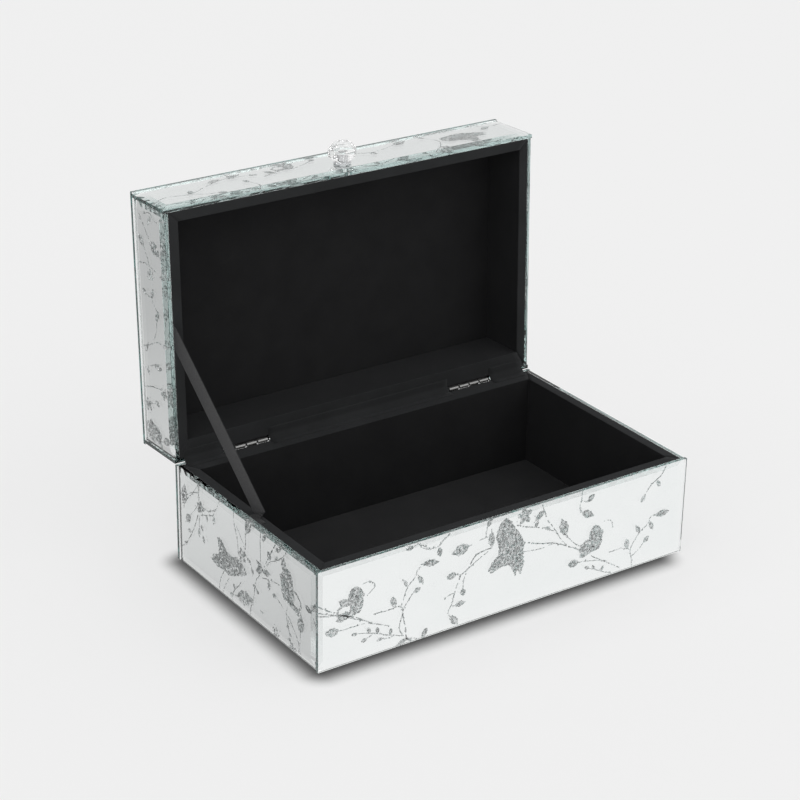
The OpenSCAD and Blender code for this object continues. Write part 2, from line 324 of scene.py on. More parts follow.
def metal_material(name, colour, rough):
    """Plated metal with fine scratches and slightly dull patches."""
    material, tree, shader = new_material(name)
    set_plain(shader, Metallic=1.0)
    patches = noise_at(tree, 500, 3)
    dull = [0.82 * c for c in colour]
    link_tint(tree, shader, spread(tree, patches, 0, 1), dull, colour)
    tree.links.new(spread(tree, patches, rough * 0.8, rough * 1.3), shader.inputs["Roughness"])
    stretch = add(tree, "Mapping", {"Vector": place_of(tree), "Scale": (0.15, 1, 1)})
    scratches = add(tree, "TexNoise", {"Vector": stretch.outputs[0], "Scale": 6000, "Detail": 2})
    bump(tree, shader, scratches.outputs["Fac"], 0.15, 0.00003)
    return material


def crystal_material():
    """Cut crystal, a little milky, with a faint painted glow that lifts its brightness."""
    material, tree, shader = new_material("cut_crystal")
    set_plain(shader, Base_Color=(1, 1, 1, 1), Roughness=0.04, IOR=1.52, Transmission_Weight=0.9)
    # a faint white emission: painted light, a glow the crystal itself does not give
    set_plain(shader, Emission_Color=(1, 1, 1, 1), Emission_Strength=0.03)
    bump(tree, shader, noise_at(tree, 400, 1), 0.04, 0.0001)
    return material


GLASS = glass_material()
SILVER = silver_material()
GLITTER = glitter_material("glitter", [(0.22, 0.40), (0.22, 0.72), (0.26, 0.92), (0.30, 1.0)])
GLITTER_DARK = glitter_material("glitter_dark", [(0.26, 0.32), (0.24, 0.62), (0.25, 0.88), (0.25, 1.0)])
LINING = velour_material("black_velour", (0.009, 0.009, 0.0095), (0.016, 0.016, 0.0165), 2600, 0.0003)
# the lining's velour made lighter for the floor pad: painted light on the floor of the box
FLOOR_LINING_PAINTED_LIGHT = velour_material("floor_velour_painted_light", (0.015, 0.015, 0.0155), (0.024, 0.024, 0.0245), 2600, 0.0003)
FLOCK = velour_material("flocked_strip", (0.015, 0.0155, 0.016), (0.027, 0.028, 0.029), 3200, 0.0002)
FELT = velour_material("pressed_felt", (0.008, 0.008, 0.009), (0.028, 0.028, 0.029), 1500, 0.0005)
RIBBON = ribbon_material()
BOARD = board_material()
NICKEL = metal_material("nickel", (0.34, 0.34, 0.335), 0.36)
# black for the hinge leaves; on the hinge pins and on the cut faces of the glass notches the black is
# painted shade
BLACKENED_AND_PAINTED_SHADE = metal_material("blackened_steel_and_painted_shade", (0.03, 0.03, 0.031), 0.45)
CHROME = metal_material("chrome", (0.75, 0.76, 0.77), 0.12)
CRYSTAL = crystal_material()

NODE_MATERIALS = [
    ("_glass", GLASS), ("_board", BOARD), ("_liner", LINING), ("floor_pad", LINING), ("_rim_cover", FLOCK),
    ("underside_felt", FELT), ("rosette", CHROME), ("knob_screw", CHROME), ("knob_crystal", CRYSTAL),
    # the hinge pins are black so that the gaps between the knuckles read dark: painted shade
    ("_pin", BLACKENED_AND_PAINTED_SHADE), ("hinge", NICKEL), ("ribbon", RIBBON),
]
KNUCKLE_REACH = 1.4 * MM


def dress_nodes():
    """Gives every CAD node its material: that of the first part name that its name holds."""
    for name, node in frame["nodes"].items():
        node.data.materials.clear()
        node.data.materials.append(next(m for part, m in NODE_MATERIALS if part in name))
        if name.endswith("_leaf"):
            blacken_leaf(node)


def blacken_notches():
    """Paints the back panes black where they are cut away for the hinges, as painted shade in the hinge
    recesses.
    """
    for body in ("base", "lid"):
        name = body + "_back_glass"
        mesh = frame["nodes"][name].data
        mesh.materials.append(BLACKENED_AND_PAINTED_SHADE)
        turn = SHUT_LID if body == "lid" else Matrix.Identity(4)
        low, high = shut_box(name)
        for polygon in mesh.polygons:
            middle = turn @ polygon.center
            facing = turn.to_3x3() @ polygon.normal
            below_rim = high.z - middle.z if body == "base" else middle.z - low.z
            beside = min(abs(middle.x - place) for place in hinge_middles())
            if abs(facing.y) < 0.5 and beside < NOTCH_HALF and 0.01 * MM < below_rim < NOTCH_DEPTH:
                # a cut face beside a hinge is painted black: painted shade in the hinge recess
                polygon.material_index = 1


def blacken_leaf(node):
    """A hinge leaf is blackened, and only its knuckles are bright."""
    node.data.materials.append(BLACKENED_AND_PAINTED_SHADE)
    for polygon in node.data.polygons:
        reach = (polygon.center - HINGE_POINT).yz.length
        polygon.material_index = 0 if reach < KNUCKLE_REACH else 1


# ---------------------------------------------------------------------------------------------
# Mesh helpers
# ---------------------------------------------------------------------------------------------

def finish_piece(name, mesh, materials, body):
    """Makes a mesh, in the row frame, into a piece that rides on a body."""
    piece = bpy.data.objects.new(name, mesh)
    bpy.context.scene.collection.objects.link(piece)
    for material in materials:
        mesh.materials.append(material)
    if body:
        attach(piece, body)
    return piece


def to_mesh(name, bm, matrix, smooth=True):
    """A mesh from a bmesh, placed by the matrix, with its faces turned outwards."""
    bmesh.ops.transform(bm, matrix=matrix, verts=bm.verts)
    bmesh.ops.recalc_face_normals(bm, faces=bm.faces)
    mesh = bpy.data.meshes.new(name)
    bm.to_mesh(mesh)
    bm.free()
    for polygon in mesh.polygons:
        polygon.use_smooth = smooth
    return mesh


def prism(bm, outline, low, high, holes=(), shade=0):
    """Adds a closed prism over an outline, with its holes, between two heights."""
    loops = [outline, *holes]
    flat = [Vector((x, y, 0)) for loop in loops for x, y in loop]
    triangles = tessellate_polygon([[Vector((x, y, 0)) for x, y in loop] for loop in loops])
    bottom = [bm.verts.new((p.x, p.y, low)) for p in flat]
    top = [bm.verts.new((p.x, p.y, high)) for p in flat]
    for triangle in triangles:
        for ring in (bottom, top):
            corners = [ring[k] for k in triangle]
            if len(set(corners)) == 3 and bm.faces.get(corners) is None:
                bm.faces.new(corners).material_index = shade
    start = 0
    for loop in loops:
        count = len(loop)
        for k in range(count):
            a = start + k
            b = start + (k + 1) % count
            bm.faces.new((bottom[a], bottom[b], top[b], top[a])).material_index = shade
        start += count


def circle(x, y, radius, count=24):
    angles = [2 * math.pi * k / count for k in range(count)]
    return [(x + radius * math.cos(a), y + radius * math.sin(a)) for a in angles]


def curve_through(points, steps):
    """A smooth curve through points, with this many steps between neighbours."""
    points = [Vector(p) for p in points]
    last = len(points) - 1
    made = []
    for k in range(last):
        p1 = points[k]
        p2 = points[k + 1]
        p0 = points[k - 1] if k else 2 * p1 - p2
        p3 = points[k + 2] if k + 2 <= last else 2 * p2 - p1
        for step in range(steps):
            t = step / steps
            made.append(0.5 * (2 * p1 + (p2 - p0) * t + (2 * p0 - 5 * p1 + 4 * p2 - p3) * t * t
                               + (3 * p1 - p0 - 3 * p2 + p3) * t * t * t))
    made.append(points[-1])
    return made


def heading_at(path, k):
    """Direction of a path at its k-th point."""
    return (path[min(k + 1, len(path) - 1)] - path[max(k - 1, 0)]).normalized()


# ---------------------------------------------------------------------------------------------
# Silvering: one thin sheet inside the back of every pane
# ---------------------------------------------------------------------------------------------

# heights above a pane's back, inside the glass
SILVER_LOW = 0.02 * MM
SILVER_HIGH = 0.05 * MM
ART_LOW = 0.07 * MM
ART_STEP = 0.004 * MM
ART_LAYERS = 9
# how far the silvering stops short of a pane's long edges and of its upright ends
SILVER_INSET = 0.15 * MM
SILVER_END_INSET = 0.9 * MM
# the notches for the hinges and the hole for the knob's screw, in the silvering
NOTCH_HALF = 16.3 * MM
NOTCH_DEPTH = 1.9 * MM
PANE_HOLE = 2.6 * MM


def hinge_middles():
    """Places of the hinges along X."""
    return [sum(c.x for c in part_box(f"hinge_{s}_pin")) / 2 for s in ("left", "right")]


def silver_outline(side, body, width, height):
    """Outline of a pane's silvering, with the notches that the hinges stand in."""
    left = SILVER_END_INSET
    right = width - SILVER_END_INSET
    low = SILVER_INSET
    high = height - SILVER_INSET
    if side != BACK:
        return [(left, low), (right, low), (right, high), (left, high)]
    rim = height - NOTCH_DEPTH if body == "base" else NOTCH_DEPTH
    edge = high if body == "base" else low
    notched = []
    for x in sorted(width / 2 - m for m in hinge_middles()):
        start = x - NOTCH_HALF
        end = x + NOTCH_HALF
        notched += [(start, edge), (start, rim), (end, rim), (end, edge)]
    far = low if body == "base" else high
    return [(left, edge), *notched, (right, edge), (right, far), (left, far)]


def make_silvering(side, body):
    name = f"{body}_{SIDE_NAMES[side]}"
    matrix, (width, height, _) = side_place(name + "_glass", side, body)
    bm = bmesh.new()
    holes = []
    if side == FRONT and body == "lid":
        holes = [circle(width / 2, knob_height(), PANE_HOLE)]
    prism(bm, silver_outline(side, body, width, height), SILVER_LOW, SILVER_HIGH, holes)
    mesh = to_mesh(name + "_silvering", bm, matrix, smooth=False)
    finish_piece(name + "_silvering", mesh, [SILVER], body)


def knob_height():
    """Height of the knob's axis above the lid front pane's rim edge."""
    low, high = shut_box("knob_screw")
    return (low.z + high.z) / 2 - shut_box("lid_front_glass")[0].z


# ---------------------------------------------------------------------------------------------
# Motif: twigs, buds, leaves, blossoms and birds in glitter, drawn in mm on a pane
# ---------------------------------------------------------------------------------------------

TWIG_STEPS = 7
GRAIN_STEP = 0.6
SHORTEST_EDGE = 0.01
PANE_MARGIN = 0.4
PETALS = 5


class Artwork:
    """Collects the flat shapes of one pane, in mm: x runs from the pane's left, and y from its bottom."""

    def __init__(self, width, height, seed):
        self.width = width
        self.height = height
        self.random = random.Random(seed)
        self.bm = bmesh.new()
        self.count = 0

    def inside(self, x, y, margin=PANE_MARGIN):
        return margin <= x <= self.width - margin and margin <= y <= self.height - margin

    def clipped(self, outline, margin=PANE_MARGIN):
        """The part of an outline that is on the pane."""
        limits = [(0, margin, 1), (0, self.width - margin, -1),
                  (1, margin, 1), (1, self.height - margin, -1)]
        for axis, limit, sign in limits:
            kept = []
            for k, p in enumerate(outline):
                q = outline[k - 1]
                p_in = (p[axis] - limit) * sign >= 0
                q_in = (q[axis] - limit) * sign >= 0
                if p_in != q_in:
                    t = (limit - q[axis]) / (p[axis] - q[axis])
                    kept.append((q[0] + (p[0] - q[0]) * t, q[1] + (p[1] - q[1]) * t))
                if p_in:
                    kept.append(tuple(p[:2]))
            outline = kept
        return outline

    def grained(self, outline, grain):
        """The outline in short steps that stray a little, as the edge of a glittered shape does."""
        made = []
        for k, p in enumerate(outline):
            q = outline[k - 1]
            steps = max(1, round(math.dist(p, q) / GRAIN_STEP))
            for step in range(steps):
                t = step / steps
                stray = [self.random.uniform(-grain, grain) for _ in range(2)]
                made.append((q[0] + (p[0] - q[0]) * t + stray[0], q[1] + (p[1] - q[1]) * t + stray[1]))
        return made

    def shape(self, outline, shade=0, grain=0.13):
        """Adds a closed shape as a thin prism, a hair above or below its neighbours."""
        outline = [tuple(p[:2]) for p in outline]
        if grain:
            outline = self.grained(outline, grain)
        outline = self.clipped(outline)
        tidy = [p for k, p in enumerate(outline) if math.dist(p, outline[k - 1]) > SHORTEST_EDGE]
        if len(tidy) < 3:
            return
        low = ART_LOW + ART_STEP * (self.count % ART_LAYERS)
        self.count += 1
        scaled = [(x * MM, y * MM) for x, y in tidy]
        prism(self.bm, scaled, low, low + ART_STEP * ART_LAYERS, shade=shade)

    def placed(self, outline, x, y, scale, heading, mirror=False):
        """Turns an outline drawn about (0, 0), heading along +x, to its place."""
        c = math.cos(math.radians(heading))
        s = math.sin(math.radians(heading))
        made = []
        for px, py in outline:
            py = -py if mirror else py
            made.append((x + scale * (px * c - py * s), y + scale * (px * s + py * c)))
        return made

    def twig(self, *points, wide=0.78, fine=0.48):
        """A twig from its thick end to its thin end, broken here and there, with small knots along it."""
        line = [p for p in curve_through(points, TWIG_STEPS) if self.inside(p.x, p.y)]
        last = len(line) - 1
        left = []
        right = []
        for k, p in enumerate(line):
            ahead = heading_at(line, k)
            across = Vector((-ahead.y, ahead.x))
            half = (wide + (fine - wide) * k / max(1, last)) / 2 * self.random.uniform(0.6, 1.4)
            sway = across * self.random.uniform(-0.16, 0.16)
            left.append(p + sway + across * half)
            right.append(p + sway - across * half)
            if k % 3 == 1 and self.random.random() < 0.5:
                knot = p + across * self.random.uniform(-0.6, 0.6)
                self.shape(circle(knot.x, knot.y, self.random.uniform(0.35, 0.65), 6), grain=0.1)
            if k == last or self.random.random() < 0.1:
                self.shape(left + right[::-1], shade=self.count % 2, grain=0)
                left = []
                right = []

    def bud(self, x, y, length, width, heading):
        """A closed bud that starts at (x, y), with two small sepals."""
        bulge = [(0, 0.08), (0.12, 0.3), (0.38, 0.5), (0.7, 0.42), (0.92, 0.2), (1, 0)]
        outline = bulge + [(px, -py) for px, py in reversed(bulge[:-1])]
        scaled = [(px * length, py * width) for px, py in outline]
        self.shape(self.placed(scaled, x, y, 1, heading), shade=self.count % 2, grain=0.2)
        for turn in (-40, 40):
            sepal = [(0, -0.12), (0.3, -0.16), (0.62, 0), (0.3, 0.16), (0, 0.12)]
            self.shape(self.placed(sepal, x, y, width, heading + turn))

    def leaf(self, x, y, length, width, heading):
        """A toothed leaf on a short stalk that starts at (x, y)."""
        edge = [(0.0, 0.04), (0.1, 0.28), (0.24, 0.36), (0.34, 0.5), (0.5, 0.44), (0.62, 0.46),
                (0.78, 0.22), (1.0, 0)]
        outline = edge + [(px, -py) for px, py in reversed(edge[:-1])]
        scaled = [(px * length, py * width) for px, py in outline]
        self.shape(self.placed(scaled, x, y, 1, heading), shade=self.count % 2, grain=0.22)
        stalk = [(-0.18, -0.03), (0.1, -0.02), (0.1, 0.02), (-0.18, 0.03)]
        self.shape(self.placed(stalk, x, y, length, heading))

    def blossom(self, x, y, radius, turn=0):
        """An open flower with a ragged edge and a few loose grains round it."""
        outline = []
        for k in range(4 * PETALS):
            angle = math.radians(turn + 90 * k / PETALS)
            reach = radius * (1.0, 0.84, 0.52, 0.84)[k % 4]
            outline.append((x + reach * math.cos(angle), y + reach * math.sin(angle)))
        self.shape(outline, shade=self.count % 2, grain=0.35)
        for k in range(PETALS):
            angle = math.radians(turn + 360 * (k + 0.5) / PETALS)
            far = radius * self.random.uniform(1.05, 1.45)
            self.shape(circle(x + far * math.cos(angle), y + far * math.sin(angle), 0.4, 6))

    def perched_bird(self, x, y, size, lean=90, mirror=False):
        """A small bird on a twig at (x, y), facing right, or left when mirrored. size is its height."""
        body = [(0.0, -0.08), (0.22, -0.24), (0.46, -0.27), (0.60, -0.36), (0.70, -0.27), (0.88, -0.20),
                (0.99, -0.04), (0.96, 0.12), (0.80, 0.24), (0.58, 0.30), (0.40, 0.22), (0.20, 0.27),
                (0.0, 0.22)]
        self.shape(self.placed(body, x, y, size, lean, mirror), shade=1, grain=0.3)
        wing = [(0.42, 0.22), (0.52, 0.42), (0.40, 0.66), (0.22, 0.70), (0.10, 0.58)]
        self.twig(*self.placed(wing, x, y, size, lean, mirror), wide=1.7, fine=1.1)
        tail = [(0.12, 0.20), (0.16, 0.50), (0.12, 0.72), (0.02, 0.76), (-0.06, 0.62), (-0.03, 0.38),
                (0.02, 0.20)]
        self.shape(self.placed(tail, x, y, size, lean, mirror), grain=0.3)

    def swallow(self, x, y, size, heading, mirror=False, slim=1.0):
        """A bird on the wing at (x, y), its head towards heading, with one wing stretched behind it."""
        outline = [(0.46, 0.03), (0.42, 0.13), (0.33, 0.20), (0.21, 0.24), (0.03, 0.20), (-0.09, 0.23),
                   (-0.17, 0.34), (-0.27, 0.41), (-0.34, 0.38), (-0.31, 0.20), (-0.31, 0.06), (-0.39, 0.0),
                   (-0.55, -0.05), (-0.48, -0.10), (-0.57, -0.15), (-0.40, -0.23), (-0.19, -0.22),
                   (-0.08, -0.26), (0.13, -0.18), (0.25, -0.11), (0.37, -0.05)]
        slimmed = [(px, py * slim) for px, py in outline]
        self.shape(self.placed(slimmed, x, y, size, heading, mirror), shade=1, grain=0.5)

    def spray(self, x, y, length, heading, bends=4):
        """A wandering twig with side twigs, buds and leaves, of the artwork's own chance."""
        points = [(x, y)]
        side = 1
        for k in range(bends):
            heading += self.random.uniform(-22, 22)
            step = length / bends
            x += step * math.cos(math.radians(heading))
            y += step * math.sin(math.radians(heading))
            points.append((x, y))
            turned = heading + side * self.random.uniform(35, 60)
            side = -side
            far = length * self.random.uniform(0.12, 0.26)
            tip = (x + far * math.cos(math.radians(turned)), y + far * math.sin(math.radians(turned)))
            middle = ((x + tip[0]) / 2 + 0.5 * side, (y + tip[1]) / 2 + 0.5 * side)
            self.twig((x, y), middle, tip, wide=0.6, fine=0.4)
            if not self.inside(*tip, margin=2):
                continue
            if k % 3 == 1:
                self.leaf(*tip, self.random.uniform(6, 9), self.random.uniform(3, 4.4), turned)
            else:
                self.bud(*tip, self.random.uniform(4, 6.5), self.random.uniform(2.6, 4), turned)
        self.twig(*points)
        if self.inside(x, y, margin=2):
            self.bud(x, y, 5.5, 3.4, heading)

    def specks(self, count):
        """Loose grains scattered over the pane."""
        for _ in range(count):
            x = self.random.uniform(2, self.width - 2)
            y = self.random.uniform(2, self.height - 2)
            self.shape(circle(x, y, self.random.uniform(0.12, 0.3), 6))

    def finish(self, name, matrix, body):
        mesh = to_mesh(name, self.bm, matrix, smooth=False)
        finish_piece(name, mesh, [GLITTER, GLITTER_DARK], body)


def draw_base_front(art):
    art.twig((0, 40), (7, 35), (14, 31), (20, 27), (30, 22), (40, 16.5), (46, 14))
    art.twig((0, 36), (8, 32.5), (15, 30), (24, 26), (33, 20))
    art.twig((0, 34), (6, 32), (12, 31))
    art.perched_bird(25, 28, 17, lean=96)
    art.leaf(13, 28, 9, 5, 15)
    art.leaf(20, 35, 8, 5, 150)
    art.twig((28, 45), (33, 45), (36, 41.5), (31, 37), wide=0.55)
    art.bud(13, 21, 8, 5.4, 172)
    art.twig((40, 16.5), (32, 20), (24, 20.8), (13, 21), wide=0.6)
    art.twig((55, 5), (44, 9), (35, 13), (22, 16.5), wide=0.8)
    small_buds = ((25, 15.6, 170), (33, 14, 110), (38, 12, 95), (46, 8.6, 80), (31, 11, 200), (41, 8, 190))
    for x, y, heading in small_buds:
        art.bud(x, y, 3.8, 2.4, heading)
    art.twig((35, 12.6), (33, 11.6), (31, 11), wide=0.5)
    art.twig((48, 7), (44, 7), (41, 8), wide=0.5)
    art.twig((62, 0), (57, 3), (56, 10), (54, 20), (57, 25), (60, 29), (62, 30))
    art.bud(61.5, 29.8, 4.2, 3.4, 25)
    art.twig((54, 6), (52, 11), (54, 20), (52, 24), (44, 24), (35, 24.6), wide=0.6)
    art.bud(49, 25, 6.5, 4.2, 108)
    art.twig((53, 24), (57, 34), (62, 39), (63.5, 43.2), (68, 44.5), wide=0.6)
    art.leaf(67, 45.3, 11, 4.4, -8)
    art.leaf(64, 39, 7, 3, -62)
    art.twig((57, 34), (55.5, 37), (54, 40), wide=0.5)
    art.bud(56.5, 35, 4.5, 2.4, 112)
    art.twig((57, 2.5), (60, 2), (66, 0), wide=0.5)
    art.leaf(51, 0.6, 8, 3, 20)
    art.bud(67.5, 0.5, 5.5, 3.6, 60)
    art.twig((88, 60), (82, 57), (76, 53), (70, 54), (64, 57.8), (60, 57))
    art.twig((64, 58), (67, 54.5), (72, 52.6), wide=0.5)
    art.bud(60.3, 57, 4.6, 3.2, 178)
    art.bud(77.3, 52, 5.4, 3.4, -84)
    art.leaf(97, 47.4, 12, 7, 188)
    art.twig((112, 49.4), (104, 49), (97, 47.4), wide=0.6)
    art.leaf(112, 51.8, 11, 4.6, -88)
    art.twig((112, 42), (102, 40.5), (97, 34), (92, 31.5), (88, 32.5))
    art.bud(88.5, 32.6, 6, 4.2, 186)
    art.twig((110, 40.5), (103, 37), (96, 33), wide=0.5)
    art.twig((92, 31.5), (88, 21), (86.5, 15), (84, 10), (88, 4.5))
    art.leaf(85.6, 7.4, 9, 4.4, -50)
    art.twig((88, 21), (85, 21), (81, 19.8), wide=0.5)
    art.leaf(88.5, 13.2, 7.5, 3.6, 4)
    art.twig((86.2, 14), (88.5, 13.2), wide=0.5)
    art.twig((96, 33), (94, 27), (93.5, 22), wide=0.6)
    art.bud(93.6, 22, 4.6, 3.8, -84)
    art.twig((108, 49), (109, 55), (113, 59.6), wide=0.6)
    art.bud(109.5, 55.5, 4.5, 3, 60)
    art.swallow(125, 40, 38, 96)
    art.blossom(134.5, 55, 5.4, turn=20)
    art.twig((129, 51), (136, 48), (142, 46), (149, 43.5), (155, 40))
    art.bud(142, 46, 4.2, 2.6, 60)
    art.bud(149, 43.5, 4, 2.4, -20)
    art.leaf(142, 50, 8, 4, 40)
    art.twig((146, 60), (150, 49), (155, 42), (160, 34), (165, 28))
    art.leaf(164, 35, 12, 6.4, 108)
    art.twig((174, 25), (169, 29), (164, 35), wide=0.6)
    art.twig((134, 39), (145, 35), (156, 32), (166, 27), (175, 22), (186, 14), (195, 9))
    art.twig((134, 33), (146, 31.4), (156, 32), wide=0.55)
    art.perched_bird(187, 19, 16.5, lean=98)
    art.leaf(183, 22, 9, 5.4, 172)
    art.twig((191, 36), (196, 35), (198, 30), wide=0.5)
    art.bud(173.5, 14.6, 7, 5, 175)
    art.twig((205, 2), (198, 6.5), (190, 11), (180, 13.6), (173.5, 14.6), wide=0.6)
    art.twig((200, 0), (191, 4), (181, 9), wide=0.6)
    for x, y, heading in ((186, 6.6, 120), (191, 4, 70), (182, 8.6, 160)):
        art.bud(x, y, 3.6, 2.2, heading)
    art.twig((214, 0), (213, 6), (212, 12), (218, 21), (224, 25), (226, 29), (230, 29.6))
    art.leaf(229.5, 29, 10.5, 4.6, 0)
    art.leaf(218, 21, 6.5, 3.2, 118)
    art.leaf(225.5, 26, 7, 3.2, -68)
    art.twig((212, 12), (204, 14.6), (196, 14.5), wide=0.5)
    art.bud(209.5, 13.4, 6.2, 4, 100)
    art.twig((213, 7), (218, 10), (222, 14), wide=0.5)
    art.bud(221.8, 13.8, 4.6, 3.4, 40)
    art.twig((175, 60), (174, 54), (173, 49), (176, 45), wide=0.6)
    art.leaf(175, 46, 10, 5, -28)
    art.bud(178.5, 52, 5.6, 3.4, 30)
    art.twig((174, 54), (176, 52.6), (178.5, 52), wide=0.5)
    art.twig((236, 60), (232, 54), (225, 50), (220, 44), wide=0.6)
    art.bud(220.4, 44.4, 5, 3.2, 240)
    art.bud(229, 51, 4.6, 2.8, 300)


def draw_base_left(art):
    art.leaf(5, 38, 14, 6.6, 84)
    art.twig((22, 57), (15, 49), (9, 43), (0, 35), wide=0.6)
    art.twig((22, 56), (22.6, 45), (22.3, 34), (22, 24))
    art.twig((22, 52), (16, 50), (8, 45), wide=0.5)
    art.blossom(24, 43.5, 4.6, turn=10)
    art.twig((28, 45), (33, 45.4), (38, 48), (42, 51), (45, 57))
    art.twig((24, 39), (31, 42), (38, 45), (40, 50), wide=0.55)
    art.bud(39, 44.4, 5, 3, -96)
    art.bud(31, 41.6, 4, 1.8, -86)
    art.leaf(7, 28, 8.4, 5.4, 48)
    art.twig((22, 45), (16, 38), (12, 34), wide=0.5)
    art.twig((21, 38), (17, 29), (12, 21), (6, 13), (1, 9))
    art.bud(12.5, 24, 4, 2.6, 196)
    art.bud(22, 30, 5.4, 2.8, -92)
    art.bud(24.4, 33, 3.6, 3, -60)
    art.bud(26, 27, 4.6, 2.8, -70)
    art.bud(7.6, 14.6, 4, 2.4, 215)
    art.swallow(56, 22.5, 39, 3, slim=0.76)
    art.twig((43, 0), (45, 8), (49, 15), wide=0.7)
    art.twig((47, 1), (51, 8), (55, 14), wide=0.7)
    art.twig((57, 1), (60, 8), (64, 12), (68, 17))
    art.bud(59, 5, 4, 2.6, 200)
    art.bud(61, 9, 3.6, 2.4, 120)
    art.leaf(63.5, 6, 18, 9, 18)
    art.twig((76, 0), (78, 6), (80, 11), wide=0.6)
    art.leaf(74, 50, 12, 6.6, 72)
    art.twig((73, 50), (73, 43), (72, 36))
    art.blossom(69, 34, 4.8, turn=36)
    art.twig((60, 57), (61, 50), (64, 42), (65, 35), wide=0.6)
    art.twig((63, 50), (67, 46), (71, 42), wide=0.45)
    art.bud(75, 35, 4, 2.4, -30)
    art.twig((72, 37), (76, 34), (79.5, 31), (80, 26), wide=0.5)
    art.bud(79, 31, 4, 2.4, -60)
    art.twig((88.5, 57), (88.6, 47), (88.5, 36), wide=0.6)
    art.bud(91, 53, 5.6, 3.6, 60)
    art.twig((104, 56), (98, 47), (94, 40), (88, 31), (84, 26), (82, 18), (80, 8))
    art.twig((115, 56), (110, 51), (104, 46.5), (99, 44), (95, 40), wide=0.6)
    art.leaf(105, 53, 7, 3.4, 40)
    art.bud(98.5, 44.6, 5.4, 4, 108)
    art.bud(104, 46.6, 5, 2.6, 60)
    for heading in (8, 150, 205):
        art.leaf(90.5, 34.5, 9 if heading == 8 else 7.6, 4.4, heading)
    art.bud(97.4, 31.4, 6, 3.4, -94)
    art.twig((90, 30), (100, 32.6), (108, 34), wide=0.6)
    art.bud(84, 20.5, 4, 2.6, 175)
    art.bud(83.5, 19.5, 3.4, 2.4, -20)
    art.perched_bird(114, 27, 21, lean=82, mirror=True)
    art.leaf(117, 41, 16, 7.4, -72)
    art.leaf(112, 44, 9, 5, 84)
    art.bud(105, 25, 4.4, 3.4, 184)
    art.twig((116, 19), (110, 22.4), (105, 25), wide=0.55)
    art.twig((120, 0), (118, 9), (115, 18), (116, 24))
    art.twig((129, 0), (127, 8), (122, 14), (117, 19))
    for t in (0.2, 0.4, 0.6, 0.8):
        art.bud(115.6 + 4 * t, 20 - 18 * t, 2.6, 1.8, -40 if t in (0.2, 0.6) else 210)
    art.leaf(129, 15, 11, 7, 84)
    art.twig((127, 2), (128.4, 8), (129, 15), wide=0.6)
    art.bud(139.5, 32.4, 6, 3.6, 168)
    art.twig((146, 40), (142, 36), (139.5, 32.4), (143, 26), (145, 18), wide=0.6)
    art.leaf(141, 36, 6, 2.6, 40)
    art.blossom(104, 2.6, 3.8)
    art.blossom(121, 0.5, 4.4, turn=30)
    art.bud(143, 1.5, 4, 3, 60)
    art.twig((88, 9), (90, 8), (92, 9), wide=0.5)


def draw_lid_left(art):
    art.perched_bird(8, 16, 20, lean=88)
    art.leaf(6, 14, 9, 5, -70)
    art.blossom(24, 30, 4.4, turn=15)
    art.bud(27, 17, 5, 3.2, 70)
    art.twig((20, 38), (23, 33), (27, 22), (28, 17), wide=0.6)
    art.blossom(36.5, 11, 4, turn=40)
    art.twig((32, 38), (35, 30), (37, 22), (38, 14))
    art.twig((44, 38), (47, 30), (51, 20), (50, 15))
    art.bud(51, 20, 8, 4.4, -92)
    art.bud(47, 29, 4.4, 2.6, 210)
    art.twig((58, 36), (61, 27), (66, 16), (66, 8))
    art.twig((66, 20), (72, 16.6), (79, 15.5), wide=0.55)
    art.bud(78.5, 15.5, 5, 3, -6)
    art.bud(66, 9, 4.4, 2.8, -88)
    art.leaf(62, 27, 7, 3, 150)
    art.twig((84, 12), (87, 17), (90, 19), (92.5, 26))
    art.bud(92.5, 25.6, 5.4, 3.4, 80)
    art.bud(85.4, 13.6, 4.4, 2.8, 190)
    art.leaf(91, 20, 7, 3.4, -20)
    art.twig((108, 38), (110, 28), (110, 20), (107, 8))
    art.blossom(105, 20, 3.8, turn=12)
    art.bud(107, 8.6, 4, 2.6, -100)
    art.twig((111, 21), (116, 24), (121, 27), wide=0.55)
    art.leaf(120, 26.4, 9, 4.6, 40)
    art.leaf(119, 9, 13, 7.4, 60)
    art.twig((126, 20), (131, 24), (136, 29), wide=0.55)
    art.bud(135, 28, 4, 2.6, 40)
    art.twig((140, 4), (138, 11), (141, 18), (139, 26), wide=0.6)
    art.leaf(139.6, 17, 7, 3.4, 150)


def draw_lid_front(art):
    art.twig((0, 12), (12, 18), (26, 16), (42, 24), (56, 29), (70, 27))
    art.bud(26, 16, 5.6, 3.6, 60)
    art.leaf(44, 27, 9, 5, 20)
    art.leaf(56, 29, 11, 6, 14)
    art.bud(70, 27, 5, 3.2, -20)
    art.twig((26, 16), (33, 11), (40, 9), wide=0.55)
    art.bud(40, 9, 5, 3, -10)
    art.perched_bird(96, 24, 14, lean=86)
    art.twig((76, 20), (88, 24), (99, 24), (112, 30), (116, 36))
    art.bud(112, 30, 4.4, 2.8, 20)
    art.leaf(84, 22, 8, 4, 120)
    art.twig((136, 38), (140, 30), (150, 24), (162, 26), (172, 30))
    art.leaf(170, 29, 11, 5.6, 18)
    art.bud(150, 24, 5, 3.2, -60)
    art.bud(141, 29, 4.6, 2.8, 190)
    art.swallow(212, 20, 30, 160)
    art.twig((182, 4), (190, 10), (196, 20), (192, 30), wide=0.6)
    art.bud(192, 30, 5, 3, 110)
    art.leaf(190, 10, 7, 3.4, -30)
    art.twig((250, 30), (240, 28), (232, 32), (226, 37), wide=0.6)
    art.leaf(238, 28, 8, 4, 200)
    art.twig((60, 0), (66, 8), (64, 16), wide=0.6)
    art.bud(64, 16, 5, 3.2, 110)


def draw_base_right(art):
    art.spray(0, 20, 62, 12)
    art.spray(26, 0, 52, 62)
    art.swallow(62, 38, 36, 20)
    art.spray(80, 0, 58, 74)
    art.perched_bird(112, 20, 17, lean=92, mirror=True)
    art.spray(146, 8, 60, 158, bends=5)
    art.spray(146, 50, 44, 200)
    art.specks(24)


